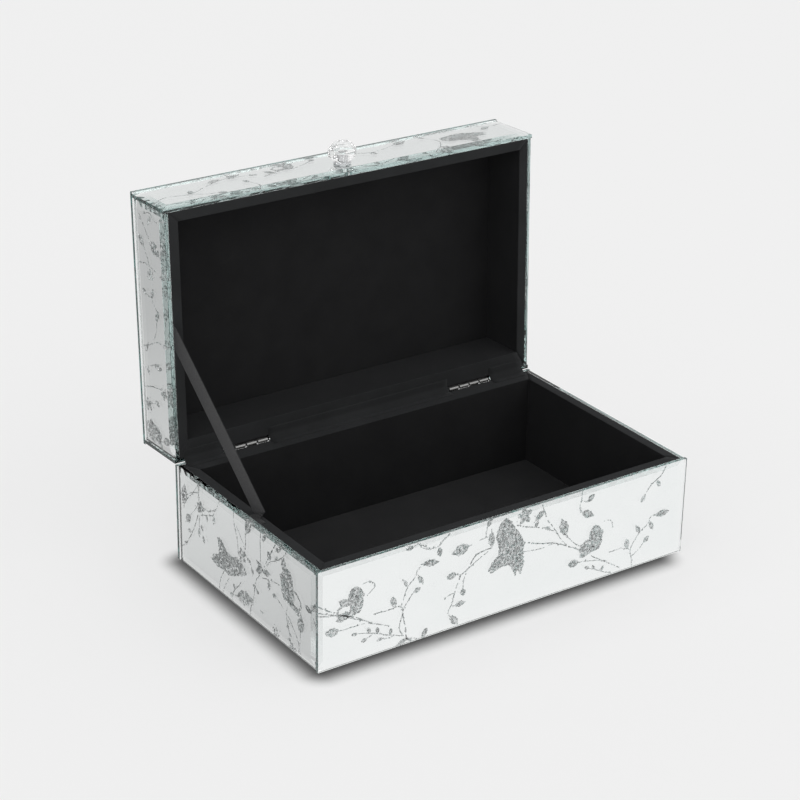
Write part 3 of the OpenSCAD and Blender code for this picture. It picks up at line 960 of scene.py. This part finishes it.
def draw_base_back(art):
    art.spray(0, 26, 70, 8)
    art.swallow(46, 40, 36, 160)
    art.spray(70, 0, 60, 66)
    art.perched_bird(98, 22, 17)
    art.spray(84, 18, 54, 10)
    art.spray(140, 0, 56, 78)
    art.swallow(168, 28, 37, 40, mirror=True)
    art.spray(184, 56, 48, -40)
    art.perched_bird(222, 20, 16, mirror=True)
    art.spray(249, 14, 66, 164, bends=5)
    art.specks(40)


def draw_lid_right(art):
    art.spray(0, 8, 54, 20)
    art.perched_bird(44, 14, 15)
    art.spray(62, 37, 46, -30)
    art.swallow(98, 20, 28, 170)
    art.spray(145, 10, 50, 155)
    art.specks(20)


def draw_lid_back(art):
    art.spray(4, 34, 50, -12)
    art.swallow(124, 19, 28, 10)
    art.spray(150, 2, 62, 24)
    art.perched_bird(212, 14, 15, mirror=True)
    art.spray(249, 30, 50, 190)
    art.spray(60, 34, 44, -14)
    art.specks(30)


def draw_lid_top(art):
    art.spray(0, 46, 96, 14, bends=6)
    art.spray(30, 0, 92, 66, bends=6)
    art.swallow(72, 96, 46, 140)
    art.perched_bird(56, 58, 21)
    art.spray(96, 151, 82, -70, bends=6)
    art.swallow(150, 56, 48, 30)
    art.spray(120, 0, 80, 76, bends=6)
    art.spray(249, 26, 100, 156, bends=7)
    art.perched_bird(202, 46, 22, mirror=True)
    art.spray(249, 116, 92, 196, bends=6)
    art.swallow(206, 112, 44, 200, mirror=True)
    art.spray(0, 128, 62, -10, bends=5)
    art.blossom(112, 118, 6, turn=20)
    art.blossom(30, 92, 5.4)
    art.specks(90)


DRAWINGS = {
    ("base", FRONT): draw_base_front, ("base", RIGHT): draw_base_right,
    ("base", BACK): draw_base_back, ("base", LEFT): draw_base_left,
    ("lid", FRONT): draw_lid_front, ("lid", RIGHT): draw_lid_right,
    ("lid", BACK): draw_lid_back, ("lid", LEFT): draw_lid_left, ("lid", TOP): draw_lid_top,
}


def make_panes():
    """Silvers every pane and draws its motif."""
    for seed, ((body, side), draw) in enumerate(DRAWINGS.items()):
        make_silvering(side, body)
        name = f"{body}_{SIDE_NAMES[side]}"
        matrix, (width, height, _) = side_place(name + "_glass", side, body)
        art = Artwork(width / MM, height / MM, seed + 11)
        draw(art)
        art.finish(name + "_motif", matrix, body)


# ---------------------------------------------------------------------------------------------
# Lining: velour panels, rim strips, floor pad and underside felt
# ---------------------------------------------------------------------------------------------

def soft_slab(width, height, thick, mitre=(0, 0, 0, 0), crown=0.0, edge=0.4 * MM, cell=CELL, seed=0):
    """A closed slab with a rounded, slightly uneven face, its back on XY and its face at +z.
    mitre gives, for its left, right, bottom and top edge, how far the face steps in from the back."""
    left, right, bottom, top = mitre
    across = steps_with_edges(width, edge, cell)
    up = steps_with_edges(height, edge, cell)
    bm = bmesh.new()
    grid = {}
    for level in (0, 1):
        for i, x in enumerate(across):
            for j, y in enumerate(up):
                fall = edge_fall(min(x, width - x), edge) * edge_fall(min(y, height - y), edge)
                u = 2 * x / width - 1
                v = 2 * y / height - 1
                swell = crown * (1 - u * u) * (1 - v * v)
                rough = 0.05 * MM * noise.noise(Vector((x * 60 + seed, y * 60, seed)))
                z = level * (thick - crown - edge * 0.5 * (1 - fall) + (swell + rough) * fall)
                inset = z / thick
                px = x + inset * (left * (1 - x / width) - right * x / width)
                py = y + inset * (bottom * (1 - y / height) - top * y / height)
                grid[level, i, j] = bm.verts.new((px, py, z))
    last_i = len(across) - 1
    last_j = len(up) - 1
    for level in (0, 1):
        for i in range(last_i):
            for j in range(last_j):
                bm.faces.new((grid[level, i, j], grid[level, i + 1, j],
                              grid[level, i + 1, j + 1], grid[level, i, j + 1]))
    rim = ([(i, 0) for i in range(last_i)] + [(last_i, j) for j in range(last_j)]
           + [(i, last_j) for i in range(last_i, 0, -1)] + [(0, j) for j in range(last_j, 0, -1)])
    for k, a in enumerate(rim):
        b = rim[(k + 1) % len(rim)]
        bm.faces.new((grid[(0, *a)], grid[(0, *b)], grid[(1, *b)], grid[(1, *a)]))
    return bm


def steps_with_edges(length, edge, cell):
    """Places from 0 to length: close together in the rounded edges, and about cell apart between them."""
    rounded = [0, edge * 0.15, edge * 0.4, edge * 0.7]
    count = max(2, round((length - 2 * edge) / cell))
    middle = [edge + (length - 2 * edge) * k / count for k in range(count + 1)]
    return rounded + middle + [length - r for r in reversed(rounded)]


def edge_fall(distance, edge):
    """How full a rounded edge is at a distance from its rim, from 0 to 1."""
    t = min(1.0, distance / edge)
    return math.sqrt(max(0.0, 1 - (1 - t) ** 2))


def make_wall_liner(body, side):
    """A velour-covered card inside a wall, mitred into its neighbours."""
    node = f"{body}_{SIDE_NAMES[side]}_liner"
    matrix, (width, height, thick) = side_place(node, side, body, inwards=True)
    bm = soft_slab(width, height, thick, mitre=(thick, thick, 0, 0), crown=0.12 * MM, seed=side)
    piece = finish_piece(node + "_velour", to_mesh(node, bm, matrix), [LINING], body)
    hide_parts(node)


def make_lid_ceiling():
    node = "lid_ceiling_liner"
    low, high = shut_box(node)
    size = high - low
    matrix = OPEN_LID @ Matrix.Translation((low.x, high.y, high.z)) @ Matrix.Rotation(math.pi, 4, "X")
    bm = soft_slab(size.x, size.y, size.z, crown=0.15 * MM, cell=5 * MM, seed=9)
    piece = finish_piece(node + "_velour", to_mesh(node, bm, matrix), [LINING], "lid")
    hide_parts(node)


def make_floor_pad():
    """A thin padded card on the floor, its edge turned down against the walls."""
    node = "base_floor_pad"
    low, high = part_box(node)
    size = high - low
    bm = soft_slab(size.x, size.y, size.z, crown=0.35 * MM, edge=1.2 * MM, seed=5)
    mesh = to_mesh(node, bm, Matrix.Translation(low))
    # the pad's velour is the lining's, made lighter: painted light
    piece = finish_piece(node + "_velour", mesh, [FLOOR_LINING_PAINTED_LIGHT], "base")
    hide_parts(node)


FELT_CORNER = 4 * MM


def make_felt():
    """Felt under the base, its corners cut round."""
    node = "underside_felt"
    low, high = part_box(node)
    size = high - low
    outline = []
    for k, (cx, cy) in enumerate(((size.x, size.y), (0, size.y), (0, 0), (size.x, 0))):
        mx = cx - FELT_CORNER if cx else FELT_CORNER
        my = cy - FELT_CORNER if cy else FELT_CORNER
        for step in range(7):
            angle = math.pi / 2 * (k + step / 6)
            outline.append((mx + FELT_CORNER * math.cos(angle), my + FELT_CORNER * math.sin(angle)))
    bm = bmesh.new()
    prism(bm, outline, 0, size.z)
    mesh = to_mesh(node, bm, Matrix.Translation(low), smooth=False)
    piece = finish_piece(node + "_cut", mesh, [FELT], "base")
    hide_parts(node)


STRIP_GAP = 0.06 * MM


def make_rim_strip(body, side):
    """A flocked strip on a wall's edge, its ends mitred and its long edges rolled over."""
    node = f"{body}_{SIDE_NAMES[side]}_rim_cover"
    low, high = shut_box(node)
    along, _, out = side_axes(side)
    size = high - low
    length = abs(size.dot(along))
    width = abs(size.dot(out))
    thick = size.z
    up = 1 if body == "base" else -1
    start = (low + high) / 2 - along * length / 2 + out * width / 2
    start.z = low.z if up > 0 else high.z
    matrix = Matrix((along, -out, Vector((0, 0, up)))).transposed().to_4x4()
    matrix.translation = start
    bm = bmesh.new()
    rings = []
    section = rim_section(width, thick)
    count = max(8, round(length / CELL))
    ends = neighbour_widths(body, side)
    for k in range(count + 1):
        t = k / count
        ring = []
        for y, z in section:
            first = STRIP_GAP + ends[0] * y / width
            last = length - STRIP_GAP - ends[1] * y / width
            x = first + (last - first) * t
            lift = 0.03 * MM * noise.noise(Vector((x * 90, side * 7.3, y * 200))) if z > thick / 2 else 0
            ring.append(bm.verts.new((x, y, min(thick, z + lift))))
        rings.append(ring)
    for a, b in zip(rings, rings[1:]):
        for k in range(len(section)):
            j = (k + 1) % len(section)
            bm.faces.new((a[k], a[j], b[j], b[k]))
    bm.faces.new(rings[0])
    bm.faces.new(rings[-1])
    mesh = to_mesh(node, bm, body_turn(body) @ matrix)
    piece = finish_piece(node + "_flock", mesh, [FLOCK], body)
    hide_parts(node)


def neighbour_widths(body, side):
    """Widths of the strips before and after a side's strip: its inner edge is that much shorter."""
    widths = []
    for other in ((side - 1) % 4, (side + 1) % 4):
        low, high = shut_box(f"{body}_{SIDE_NAMES[other]}_rim_cover")
        widths.append(abs((high - low).dot(side_axes(other)[2])))
    return widths


def rim_section(width, thick):
    """Section of a rim strip: flat below, rolled over at both long edges."""
    roll = thick * 0.8
    points = [(0.0, 0.0)]
    for k in range(5):
        angle = math.pi / 2 * k / 4
        points.append((roll * (1 - math.cos(angle)), thick - roll + roll * math.sin(angle)))
    for k in range(1, 4):
        points.append((roll + (width - 2 * roll) * k / 4, thick))
    for k in range(4, -1, -1):
        angle = math.pi / 2 * k / 4
        points.append((width - roll * (1 - math.cos(angle)), thick - roll + roll * math.sin(angle)))
    points.append((width, 0.0))
    return points


# ---------------------------------------------------------------------------------------------
# Ribbon stay
# ---------------------------------------------------------------------------------------------

FREE_STEPS = 60
TAIL_STEPS = 6
LAST_ON_RIM = 4
RIBBON_BOW = 0.25 * MM


def ribbon_path(tail_low, tail_high, thick):
    """Middle line of the ribbon, with the foot and the head of its free stretch."""
    lid_low, lid_high = shut_box("ribbon_lid_tail")
    base_y = (tail_low.y + tail_high.y) / 2
    lid_y = (lid_low.y + lid_high.y) / 2
    slot_x = tail_low.x + thick / 2
    rim_z = tail_high.z - thick / 2
    foot = Vector((tail_high.x - thick / 2, base_y, rim_z))
    head = OPEN_LID @ Vector((lid_low.x + thick / 2, lid_y, lid_low.z))
    tail_end = OPEN_LID @ Vector((lid_low.x + thick / 2, lid_y, lid_high.z))
    rise = (head - foot).normalized()
    corner = Vector((slot_x, base_y, rim_z))
    path = [Vector((slot_x, base_y, tail_low.z)), Vector((slot_x, base_y, rim_z - 2 * MM)),
            corner + Vector((0.25, 0, -0.25)) * MM, corner + Vector((1.2, 0, 0)) * MM,
            foot - Vector((1.4, 0, 0)) * MM, foot + rise * 0.9 * MM]
    path += [foot.lerp(head, k / FREE_STEPS) for k in range(1, FREE_STEPS)]
    path += [head.lerp(tail_end, k / TAIL_STEPS) for k in range(TAIL_STEPS + 1)]
    return path, foot, head


def make_ribbon():
    """One ribbon: out of the slot behind the base's left pane, over the rim, taut up to the lid's rim,
    and in behind the lid's left pane."""
    rim_low, rim_high = shut_box("base_left_rim_cover")
    thick = rim_high.z - rim_low.z
    tail_low, tail_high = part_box("ribbon_base_tail")
    width = (tail_high.y - tail_low.y) / math.sqrt(2)
    path, foot, head = ribbon_path(tail_low, tail_high, thick)
    bm = bmesh.new()
    measure = bm.loops.layers.uv.new("along")
    rings = []
    walked = 0.0
    lengths = []
    section = ribbon_section(width, thick)
    for k, p in enumerate(path):
        ahead = heading_at(path, k)
        walked += (p - path[k - 1]).length if k else 0
        lengths.append(walked)
        free = k > LAST_ON_RIM
        across = ahead.cross(Vector((1, 0, 0))).normalized() if free else Vector((0, -1, 0))
        normal = across.cross(ahead).normalized()
        share = max(0.0, min(1.0, (k - LAST_ON_RIM - 1) / FREE_STEPS))
        bow = RIBBON_BOW * math.sin(math.pi * share)
        middle = p + normal * bow
        rings.append([bm.verts.new(middle + across * x + normal * z) for x, z in section])
    count = len(section)
    for k in range(len(rings) - 1):
        for i in range(count):
            j = (i + 1) % count
            face = bm.faces.new((rings[k][i], rings[k][j], rings[k + 1][j], rings[k + 1][i]))
            for loop, (ring, point) in zip(face.loops, ((k, i), (k, j), (k + 1, j), (k + 1, i))):
                loop[measure].uv = (section[point][0] / MM, lengths[ring] / MM)
    bm.faces.new(rings[0])
    bm.faces.new(rings[-1])
    mesh = to_mesh("ribbon", bm, Matrix.Identity(4))
    piece = finish_piece("grosgrain_ribbon", mesh, [RIBBON], None)
    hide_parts("ribbon_stay", "ribbon_base_tail", "ribbon_lid_tail")
    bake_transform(piece)


def ribbon_section(width, thick):
    """Section of the ribbon: thin in the middle, with a firmer selvedge along each edge."""
    half = width / 2
    edge = thick / 2
    web = thick * 0.36
    upper = [(-half, edge * 0.5), (-half + 0.25 * MM, edge), (-half + 0.7 * MM, edge),
             (-half + 1.0 * MM, web), (0.0, web)]
    over = upper + [(-x, z) for x, z in reversed(upper[:-1])]
    return over + [(x, -z) for x, z in reversed(over)]


# ---------------------------------------------------------------------------------------------
# Joint strips: black tape that closes the gap at the back between the two rims
# ---------------------------------------------------------------------------------------------

TAPE = 0.14 * MM
TAPE_GRIP = 4.6 * MM
TAPE_END = 2.5 * MM
TAPE_SAG = Vector((0, -0.2, -0.1)) * MM
GRIP_STEPS = 4
FOLD_STEPS = 6


def tape_path():
    """Middle line of the tape over both rims, with the two ends of its free part."""
    base_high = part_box("base_back_rim_cover")[1]
    lid_low = shut_box("lid_back_rim_cover")[0]
    edge = base_high.y - 0.3 * MM
    grips = [TAPE_GRIP * k / GRIP_STEPS for k in range(GRIP_STEPS + 1)]
    path = [Vector((0, edge - grip, base_high.z + TAPE / 2)) for grip in reversed(grips)]
    lid_path = [OPEN_LID @ Vector((0, edge - grip, lid_low.z - TAPE / 2)) for grip in grips]
    start = path[-1].copy()
    end = lid_path[0].copy()
    for k in range(1, FOLD_STEPS):
        t = k / FOLD_STEPS
        path.append(start.lerp(end, t) + TAPE_SAG * math.sin(math.pi * t))
    return path + lid_path, start, end


def tape_mesh(name, path, x0, x1):
    """A length of tape along the path, from x0 to x1."""
    bm = bmesh.new()
    columns = max(6, round((x1 - x0) / CELL))
    layers = []
    for side in (-1, 1):
        rows = []
        for k, p in enumerate(path):
            normal = Vector((1, 0, 0)).cross(heading_at(path, k))
            q = p + normal * side * TAPE / 2
            places = [x0 + (x1 - x0) * i / columns for i in range(columns + 1)]
            rows.append([bm.verts.new((x, q.y, q.z)) for x in places])
        layers.append(rows)
        for a, b in zip(rows, rows[1:]):
            for i in range(columns):
                bm.faces.new((a[i], a[i + 1], b[i + 1], b[i]))
    below, above = layers
    for k in range(len(path) - 1):
        for i in (0, columns):
            bm.faces.new((below[k][i], below[k + 1][i], above[k + 1][i], above[k][i]))
    for k in (0, len(path) - 1):
        for i in range(columns):
            bm.faces.new((below[k][i], below[k][i + 1], above[k][i + 1], above[k][i]))
    return to_mesh(name, bm, Matrix.Identity(4))


def make_joint_tape():
    """Tape on both back rims, in lengths between and beside the hinges. It folds where the lid turns."""
    path, start, end = tape_path()
    base_low, base_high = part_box("base_back_rim_cover")
    pin_low, pin_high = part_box("hinge_left_pin")
    hinge_half = (pin_high.x - pin_low.x) / 2 + 0.1 * MM
    left, right = hinge_middles()
    stretches = {"left": (base_low.x + TAPE_END, left - hinge_half),
                 "middle": (left + hinge_half, right - hinge_half),
                 "right": (right + hinge_half, base_high.x - TAPE_END)}
    for name, (x0, x1) in stretches.items():
        mesh = tape_mesh("joint_tape_" + name, path, x0, x1)
        piece = finish_piece("joint_tape_" + name, mesh, [FLOCK], None)
        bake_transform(piece)


# ---------------------------------------------------------------------------------------------
# Stage
# ---------------------------------------------------------------------------------------------

FLOOR_HALF = 8.0
FLOOR_SHADE = 0.30
FLOOR_GLOW = 0.595
SHADE_REACH = 0.016
SHADE_DEPTH = 0.88
SHADE_SHORT = 0.012
SHADE_HEIGHT = 0.0003
FLAG_HEIGHT = 0.0006
FLAG_GAP = 0.004
LIGHT_PLACE = (0.9, -1.1, 1.6)
LIGHT_SIZE = 1.2
LIGHT_WATTS = 2.0
LIGHT_BOUNCES = 48
# how bright the flags are at places along Y
LEFT_LEVELS = [(-0.6, 0.54), (-0.03, 0.57), (0.12, 0.68), (0.4, 0.50), (0.75, 0.51)]
FRONT_LEVELS = (0.89, 0.90)
# directions in which the studio is dimmer
BEHIND = (0.66, 0.62, 0.42)
LOW_LEFT = (-0.57, 0.81, 0.10)


def rectangle(x, y):
    """Outline of a rectangle about (0, 0), given the halves of its sides."""
    return [(-x, -y), (x, -y), (x, y), (-x, y)]


def flat_card(name, outline, height, material):
    """A flat piece of the studio."""
    mesh = bpy.data.meshes.new(name)
    mesh.from_pydata([(x, y, height) for x, y in outline], [], [range(len(outline))])
    mesh.materials.append(material)
    card = bpy.data.objects.new(name, mesh)
    bpy.context.scene.collection.objects.link(card)
    return card


def make_floor():
    material, _, shader = new_material("pale_floor")
    set_plain(shader, Base_Color=(FLOOR_SHADE, FLOOR_SHADE, FLOOR_SHADE, 1), Roughness=1.0)
    set_plain(shader, Specular_IOR_Level=0.0, Emission_Color=(1, 1, 1, 1), Emission_Strength=FLOOR_GLOW)
    floor = flat_card("floor", rectangle(FLOOR_HALF, FLOOR_HALF), 0, material)


def make_contact_shade():
    """The soft contact shade on the floor round the felt, as a card that only the camera sees.
    It stops short of the box's right end."""
    low = cad_box[0]
    back = shut_box("base_back_glass")[1].y
    right = cad_box[1].x - SHADE_SHORT
    half = Vector((right - low.x, back - low.y, 0)) / 2
    material, tree, surface = bare_material("contact_shade")
    size = add(tree, "VectorMath", {0: place_of(tree)}, operation="ABSOLUTE")
    full = (half.x - SHADE_REACH * 0.3, half.y - SHADE_REACH * 0.3, 0)
    past = add(tree, "VectorMath", {0: size.outputs[0], 1: full}, operation="SUBTRACT")
    outside = add(tree, "VectorMath", {0: past.outputs[0], 1: (0, 0, 0)}, operation="MAXIMUM")
    distance = add(tree, "VectorMath", {0: outside.outputs[0]}, operation="LENGTH")
    inputs = {"Value": distance.outputs["Value"], "From Min": 0, "From Max": SHADE_REACH * 1.3,
              "To Min": SHADE_DEPTH, "To Max": 0.0}
    fade = add(tree, "MapRange", inputs, interpolation_type="SMOOTHERSTEP")
    clear = add(tree, "BsdfTransparent")
    black = add(tree, "Emission", {"Color": (0, 0, 0, 1)})
    mix = add(tree, "MixShader", {0: fade.outputs["Result"], 1: clear.outputs[0], 2: black.outputs[0]})
    tree.links.new(mix.outputs[0], surface)
    outline = rectangle(half.x + 2 * SHADE_REACH, half.y + 2 * SHADE_REACH)
    card = flat_card("contact_shade", outline, 0, material)
    card.location = ((low.x + right) / 2, (low.y + back) / 2, SHADE_HEIGHT)
    for ray in ("diffuse", "glossy", "transmission", "shadow"):
        setattr(card, "visible_" + ray, False)


def make_flag(name, outline, levels):
    """A glowing studio card that lies beside the box and that only the panes see.
    levels gives (y, brightness) along it."""
    first = levels[0][0]
    last = levels[-1][0]
    material, tree, surface = bare_material(name)
    place = add(tree, "SeparateXYZ", {"Vector": place_of(tree)})
    inputs = {"Value": place.outputs["Y"], "From Min": first, "From Max": last, "To Min": 0, "To Max": 1}
    share = add(tree, "MapRange", inputs)
    stops = [((y - first) / (last - first), (level, level, level)) for y, level in levels]
    colour = ramp_through(tree, share.outputs["Result"], stops)
    glow = add(tree, "Emission", {"Color": colour, "Strength": 1.0})
    tree.links.new(glow.outputs[0], surface)
    flag = flat_card(name, outline, FLAG_HEIGHT, material)
    for ray in ("camera", "diffuse", "shadow"):
        setattr(flag, "visible_" + ray, False)


def make_flags():
    """Cards left of the box and in front of it, round the corner that the camera sees.
    The left card's back end slants away, and its edge shows in the panes only from behind and the left."""
    front = shut_box("base_front_glass")[0].y
    left = cad_box[0].x - FLAG_GAP
    left_outline = [(left, front - FLAG_GAP), (left, cad_box[1].y + 0.03), (-0.36, 0.75),
                    (-1.1, 0.75), (-1.1, -0.60)]
    make_flag("left_flag", left_outline, LEFT_LEVELS)
    front_outline = [(left, -1.2), (1.4, -1.2), (1.4, front - FLAG_GAP), (left, front - FLAG_GAP)]
    make_flag("front_flag", front_outline, list(zip((-1.2, front), FRONT_LEVELS)))


def dimmed(tree, direction, towards, start, end, level):
    """A strength of 1, but level towards a direction. start and end are cosines of the angle to it."""
    cosine = add(tree, "VectorMath", {0: direction, 1: towards}, operation="DOT_PRODUCT")
    inputs = {"Value": cosine.outputs["Value"], "From Min": start, "From Max": end,
              "To Min": 1.0, "To Max": level}
    return add(tree, "MapRange", inputs).outputs["Result"]


def make_world():
    """An even, pale studio: a little dimmer behind, and dark low down behind on the left."""
    world = bpy.data.worlds.new("studio")
    bpy.context.scene.world = world
    world.use_nodes = True
    tree = world.node_tree
    background = tree.nodes["Background"]
    direction = add(tree, "TexCoord").outputs["Generated"]
    behind = dimmed(tree, direction, BEHIND, 0.2, 1.0, 0.76)
    low_left = dimmed(tree, direction, LOW_LEFT, 0.80, 0.95, 0.2)
    both = add(tree, "Math", {0: behind, 1: low_left}, operation="MULTIPLY")
    tree.links.new(both.outputs[0], background.inputs["Strength"])
    background.inputs["Color"].default_value = (1, 1, 1, 1)


def make_light():
    data = bpy.data.lights.new("soft_box", "AREA")
    data.shape = "DISK"
    data.size = LIGHT_SIZE
    data.energy = LIGHT_WATTS
    light = bpy.data.objects.new("soft_box", data)
    light.location = LIGHT_PLACE
    light.rotation_euler = (-light.location).to_track_quat("-Z", "Y").to_euler()
    bpy.context.scene.collection.objects.link(light)


def set_render():
    scene = bpy.context.scene
    scene.view_settings.view_transform = "Standard"
    scene.cycles.max_bounces = LIGHT_BOUNCES
    scene.cycles.transmission_bounces = LIGHT_BOUNCES
    scene.cycles.glossy_bounces = LIGHT_BOUNCES


make_camera()
dress_nodes()
blacken_notches()
make_panes()
for lining_body in ("base", "lid"):
    for lining_side in (FRONT, RIGHT, BACK, LEFT):
        make_wall_liner(lining_body, lining_side)
        make_rim_strip(lining_body, lining_side)
make_lid_ceiling()
make_floor_pad()
make_felt()
make_ribbon()
make_joint_tape()
make_floor()
make_contact_shade()
make_flags()
make_world()
make_light()
set_render()
